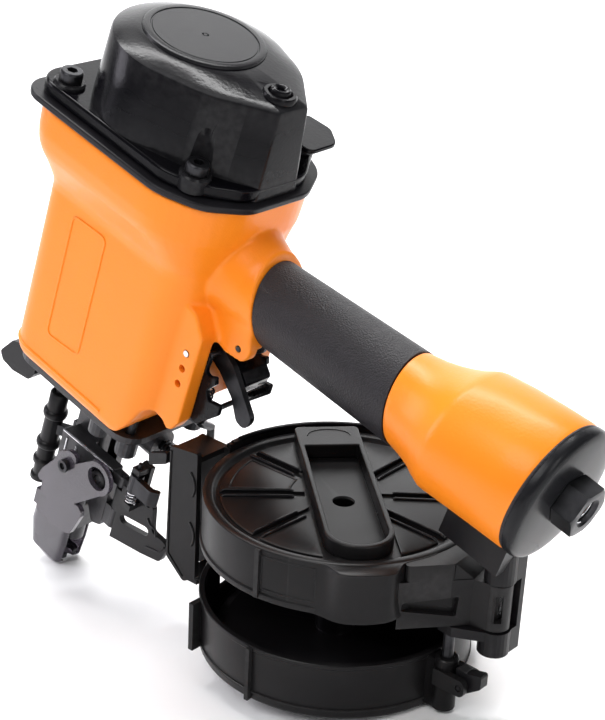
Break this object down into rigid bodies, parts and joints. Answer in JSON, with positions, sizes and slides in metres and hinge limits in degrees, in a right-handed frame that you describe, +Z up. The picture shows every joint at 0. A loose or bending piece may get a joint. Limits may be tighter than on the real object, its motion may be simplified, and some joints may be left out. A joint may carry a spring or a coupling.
{
  "type": "pneumatic coil nail gun",
  "caption": "Air-powered coil nail gun with an orange cast body, rubber grip, hinged round magazine, spring-loaded nose contact and a domed black cylinder cap.",
  "frame": {"origin": "on the ground, under the middle of the bounding box, with the gun standing on its nose shield and the rear edge of its magazine", "axes": "+X towards the handle's air inlet, +Y to the gun's left-hand far side, +Z up"},
  "size_m": [0.3484, 0.1308, 0.2947],
  "materials": {
    "air_inlet": "blackened steel",
    "bracket_screw_1": "blackened steel",
    "bracket_screw_2": "blackened steel",
    "bumper": "matt",
    "cap_plug": "blackened steel",
    "cap_screw_1": "blackened steel",
    "cap_screw_2": "blackened steel",
    "cap_screw_3": "blackened steel",
    "cap_screw_4": "blackened steel",
    "contact_arm": "blackened steel",
    "contact_spring": "bright steel",
    "contact_tube": "ribbed sleeve, satin black",
    "cup_catch": "satin charcoal",
    "cup_guide_rod": "bright steel",
    "cylinder_cap": "gloss black",
    "cylinder_sleeve": "bright steel",
    "depth_wheel": "blackened steel",
    "door_latch": "blackened steel",
    "door_pin": "bright steel",
    "driver_blade": "bright steel",
    "end_cap": "semi-gloss black",
    "end_cap_seal": "matt",
    "exhaust_louvre": "gloss black",
    "feed_cylinder": "dark anodised",
    "feed_pawl": "blackened steel",
    "feed_spring": "bright steel",
    "front_bumper": "satin black",
    "grip_sleeve": "fine matt texture",
    "head_valve": "moulded",
    "head_valve_spring": "bright steel",
    "hinge_pin": "bright steel",
    "latch_spring": "bright steel",
    "magazine_bracket": "blackened steel",
    "magazine_cover": "satin charcoal",
    "magazine_cup": "satin charcoal",
    "magazine_frame": "satin charcoal",
    "main_housing": "satin orange paint",
    "nail_platform": "satin charcoal",
    "no_mar_shield": "smoky translucent",
    "nose_base_plate": "machined casting, dark",
    "nose_bolt_1": "blackened steel",
    "nose_bolt_2": "blackened steel",
    "nose_bolt_3": "blackened steel",
    "nose_bolt_4": "blackened steel",
    "nose_door": "blackened steel",
    "nosepiece": "machined casting, dark",
    "piston": "machined",
    "shield_screw": "blackened steel",
    "top_guard_plate": "satin black",
    "trigger": "gloss black",
    "trigger_pin": "bright steel",
    "trigger_valve_body": "moulded",
    "trip_lever": "blackened steel",
    "valve_pin": "blackened steel",
    "valve_stem": "bright steel"
  },
  "bodies": {
    "tool_body": {"air_inlet": "air_inlet", "bracket_screw_1": "bracket_screw_1", "bracket_screw_2": "bracket_screw_2", "bumper": "bumper", "cap_plug": "cap_plug", "cap_screw_1": "cap_screw_1", "cap_screw_2": "cap_screw_2", "cap_screw_3": "cap_screw_3", "cap_screw_4": "cap_screw_4", "contact_spring": "contact_spring", "cup_guide_rod": "cup_guide_rod", "cylinder_cap": "cylinder_cap", "cylinder_sleeve": "cylinder_sleeve", "door_pin": "door_pin", "end_cap": "end_cap", "end_cap_seal": "end_cap_seal", "exhaust_louvre": "exhaust_louvre", "feed_cylinder": "feed_cylinder", "feed_spring": "feed_spring", "front_bumper": "front_bumper", "grip_sleeve": "grip_sleeve", "head_valve_spring": "head_valve_spring", "hinge_pin": "hinge_pin", "magazine_bracket": "magazine_bracket", "magazine_frame": "magazine_frame", "main_housing": "main_housing", "nose_base_plate": "nose_base_plate", "nose_bolt_1": "nose_bolt_1", "nose_bolt_2": "nose_bolt_2", "nose_bolt_3": "nose_bolt_3", "nose_bolt_4": "nose_bolt_4", "nosepiece": "nosepiece", "top_guard_plate": "top_guard_plate", "trigger_pin": "trigger_pin", "trigger_valve_body": "trigger_valve_body", "valve_pin": "valve_pin"},
    "trigger_lever": {"trigger": "trigger"},
    "trip_lever": {"trip_lever": "trip_lever"},
    "valve_stem": {"valve_stem": "valve_stem"},
    "work_contact": {"contact_arm": "contact_arm", "contact_tube": "contact_tube", "no_mar_shield": "no_mar_shield", "shield_screw": "shield_screw"},
    "depth_wheel": {"depth_wheel": "depth_wheel"},
    "nose_door": {"nose_door": "nose_door", "latch_spring": "latch_spring"},
    "door_latch": {"door_latch": "door_latch"},
    "piston": {"piston": "piston", "driver_blade": "driver_blade"},
    "head_valve": {"head_valve": "head_valve"},
    "feed_pawl": {"feed_pawl": "feed_pawl"},
    "magazine_cover": {"magazine_cover": "magazine_cover"},
    "magazine_cup": {"magazine_cup": "magazine_cup", "nail_platform": "nail_platform"},
    "cup_catch": {"cup_catch": "cup_catch"}
  },
  "joints": [
    {"name": "trigger_pull", "type": "hinge", "parent": "tool_body", "child": "trigger_lever", "pos_m": [-0.02057, -0.00095, 0.1459], "axis": [0, -1, 0], "range_deg": [0, 8], "stiffness_Nm_per_rad": 0.25, "springref_deg": -8.59},
    {"name": "trip_lever_lift", "type": "hinge", "parent": "tool_body", "child": "trip_lever", "pos_m": [-0.02057, -0.01105, 0.1459], "axis": [0, -1, 0], "range_deg": [0, 7], "stiffness_Nm_per_rad": 0.12, "springref_deg": -8.59},
    {"name": "valve_stem_press", "type": "slide", "parent": "tool_body", "child": "valve_stem", "axis": [0.4304, 0, 0.9027], "range_m": [0, 0.003], "stiffness_N_per_m": 400, "springref_m": -0.002},
    {"name": "work_contact_press", "type": "slide", "parent": "tool_body", "child": "work_contact", "axis": [0.4304, 0, 0.9027], "range_m": [0, 0.011], "stiffness_N_per_m": 1500, "springref_m": -0.02, "deforming": ["contact_spring"]},
    {"name": "depth_wheel_turn", "type": "hinge", "parent": "tool_body", "child": "depth_wheel", "pos_m": [-0.09363, -0.02315, 0.06817], "axis": [0, 1, 0], "continuous": true},
    {"name": "nose_door_open", "type": "hinge", "parent": "tool_body", "child": "nose_door", "pos_m": [-0.08736, -0.01815, 0.0581], "axis": [-0.4304, 0, -0.9027], "range_deg": [0, 55]},
    {"name": "door_latch_release", "type": "hinge", "parent": "nose_door", "child": "door_latch", "pos_m": [-0.06702, -0.02535, 0.07055], "axis": [-0.4304, 0, -0.9027], "range_deg": [0, 50], "stiffness_Nm_per_rad": 0.05, "springref_deg": -17.19, "deforming": ["latch_spring"]},
    {"name": "piston_stroke", "type": "slide", "parent": "tool_body", "child": "piston", "axis": [-0.4304, 0, -0.9027], "range_m": [0, 0.074]},
    {"name": "head_valve_lift", "type": "slide", "parent": "tool_body", "child": "head_valve", "axis": [0.4304, 0, 0.9027], "range_m": [0, 0.006], "stiffness_N_per_m": 900, "springref_m": -0.006, "deforming": ["head_valve_spring"]},
    {"name": "feed_pawl_retract", "type": "slide", "parent": "tool_body", "child": "feed_pawl", "axis": [-0.9027, 0, 0.4304], "range_m": [0, 0.0075], "stiffness_N_per_m": 400, "springref_m": -0.004, "deforming": ["feed_spring"]},
    {"name": "magazine_cover_swing", "type": "hinge", "parent": "tool_body", "child": "magazine_cover", "pos_m": [0.12414, 0.00055, 0.05316], "axis": [0.1442, 0, 0.9895], "range_deg": [0, 100]},
    {"name": "magazine_cup_lift", "type": "slide", "parent": "tool_body", "child": "magazine_cup", "axis": [0.1442, 0, 0.9895], "range_m": [0, 0.01]},
    {"name": "cup_catch_release", "type": "hinge", "parent": "magazine_cup", "child": "cup_catch", "pos_m": [0.11378, -0.00875, 0.01677], "axis": [0, 1, 0], "range_deg": [0, 28], "stiffness_Nm_per_rad": 0.06, "springref_deg": -11.46}
  ]
}
